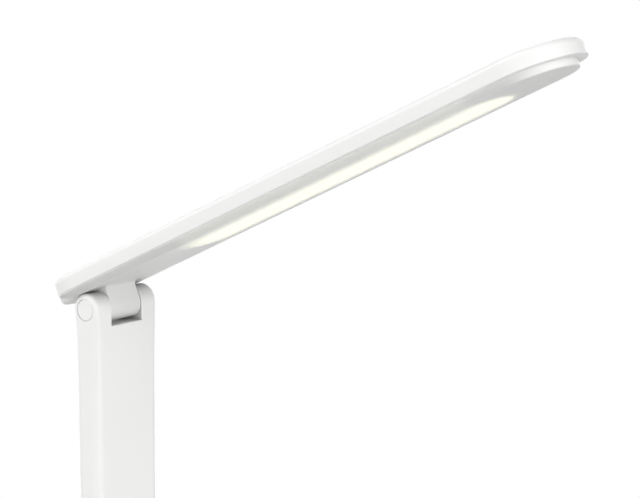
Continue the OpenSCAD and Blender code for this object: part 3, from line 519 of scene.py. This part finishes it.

# %% [markdown]
# ## Dress the carried pieces
# One table says which finish each material slot takes, and a loop hands them out. The lower
# frame of the head takes its own, slightly greyer white, with a painted glow round the window.
# So does the arm's shell, whose ears get painted shade where they close up to the head.

# %% Hand out the finishes
FINISH_OF_SLOT = {
    "housing": housing, "lens": opal, "reflector": reflector_white, "led_plate": board_white,
    "led": phosphor, "screw": zinc, "lead": lead_black, "pin": steel, "spring": spring_steel,
    "washer": nylon, "bush": brass, "tray": tray_white, "pad": pad_grey, "weight": black_plate,
    "mount": cast, "board": board_green, "switch": switch_black, "inlet": nickel,
    "button": button_white,
}
FINISH_OF_NODE = {"head_frame": frame_white_and_glow, "arm_shell": arm_white}
slot_of = {p["node"]: p["material_slot"] for p in frame["record"]["subparts"]}
for name, obj in nodes.items():
    finish = FINISH_OF_NODE.get(name, FINISH_OF_SLOT[slot_of[name]])
    obj.data.materials.clear()
    obj.data.materials.append(finish)
print("finishes handed to", len(nodes), "pieces")

# %% [markdown]
# ## Marks on the buttons
# Each button carries a small grey print that stands two hundredths of a millimetre proud: a
# broken ring with a bar for power, and a small ring with short rays for the light's mode. A
# stroke is a thin bar or arc: a section of width and height carried along a line.


# %% Printed strokes
LINE = 0.5 * MM                 # width of every stroke
RAISE = 0.03 * MM               # height of a stroke, of which SINK lies in the button
SINK = np.array([0, 0, -0.01 * MM])
TOP_SHARE = 0.84                # width of a stroke's top over the width of its foot
SECTION = np.array([(-0.5, 0), (0.5, 0), (TOP_SHARE / 2, 1), (-TOP_SHARE / 2, 1)])
RING_R = 2.4 * MM
RING_OPEN = 35                  # degrees left open on each side of the bar
RING_POINTS = 60
BAR_FROM, BAR_TO = 1.2 * MM, 3.2 * MM
BAR_POINTS = 4
SUN_R = 1.3 * MM
SUN_POINTS = 40
RAYS = 8
RAY_FROM, RAY_TO = 2.1 * MM, 3.1 * MM
RAY_POINTS = 3

ink = moulded("ink_grey", (120, 122, 126), 0.5, grain_mm=0.2, drift=5.0)


def stroke(path, closed=False):
    """A raised stroke. Its section has four corners: left and right of the path, low and high.

    Point = path point + side * (section's x times LINE) + up * (section's y times RAISE), where
    side is the path's heading turned by a quarter.
    """
    heading = np.roll(path, -1, 0) - np.roll(path, 1, 0) if closed else np.gradient(path, axis=0)
    heading /= np.linalg.norm(heading, axis=1, keepdims=True)
    side = np.stack([-heading[:, 1], heading[:, 0], 0 * heading[:, 0]], 1)
    points = (path[:, None, :] + side[:, None, :] * (SECTION[:, 0] * LINE)[None, :, None]
              + np.array([0, 0, 1]) * (SECTION[:, 1] * RAISE)[None, :, None])
    corners = len(SECTION)
    faces = grid_faces(len(path), corners, wrap_columns=True, wrap_rows=closed)
    if not closed:
        last = (len(path) - 1) * corners
        faces += [[3, 2, 1, 0], [last, last + 1, last + 2, last + 3]]
    return points.reshape(-1, 3), faces


def arc(centre, radius, start, end, count):
    """Points on an arc in the plane of the button's face, angles in degrees."""
    angle = np.radians(np.linspace(start, end, count))
    return centre + radius * np.stack([np.cos(angle), np.sin(angle), 0 * angle], 1)


def straight(centre, angle, start, end, count):
    """Points on a line out from the centre, from one distance to another, angle in degrees."""
    heading = np.array([math.cos(math.radians(angle)), math.sin(math.radians(angle)), 0])
    return centre + np.linspace(start, end, count)[:, None] * heading


def join_strokes(name, strokes):
    """One mesh from several strokes."""
    points, faces, base = [], [], 0
    for part_points, part_faces in strokes:
        points.append(part_points)
        faces += [[base + i for i in face] for face in part_faces]
        base += len(part_points)
    obj = add_mesh(name, np.concatenate(points), faces)
    obj.data.materials.append(ink)
    return obj


def face_centre(button):
    """Middle of a button's top face."""
    low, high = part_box(button)
    return np.array([(low.x + high.x) / 2, (low.y + high.y) / 2, high.z])


centre = face_centre("power_button") + SINK
ring = stroke(arc(centre, RING_R, 90 + RING_OPEN, 450 - RING_OPEN, RING_POINTS))
bar = stroke(straight(centre, 90, BAR_FROM, BAR_TO, BAR_POINTS))
power_mark = join_strokes("power_mark", [ring, bar])
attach(power_mark, "power_key")

centre = face_centre("mode_button") + SINK
sun = [stroke(arc(centre, SUN_R, 0, 360, SUN_POINTS + 1)[:-1], closed=True)]
for k in range(RAYS):
    sun.append(stroke(straight(centre, 360 / RAYS * k, RAY_FROM, RAY_TO, RAY_POINTS)))
mode_mark = join_strokes("mode_mark", sun)
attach(mode_mark, "mode_key")
print("marks:", len(power_mark.data.polygons) + len(mode_mark.data.polygons), "faces")
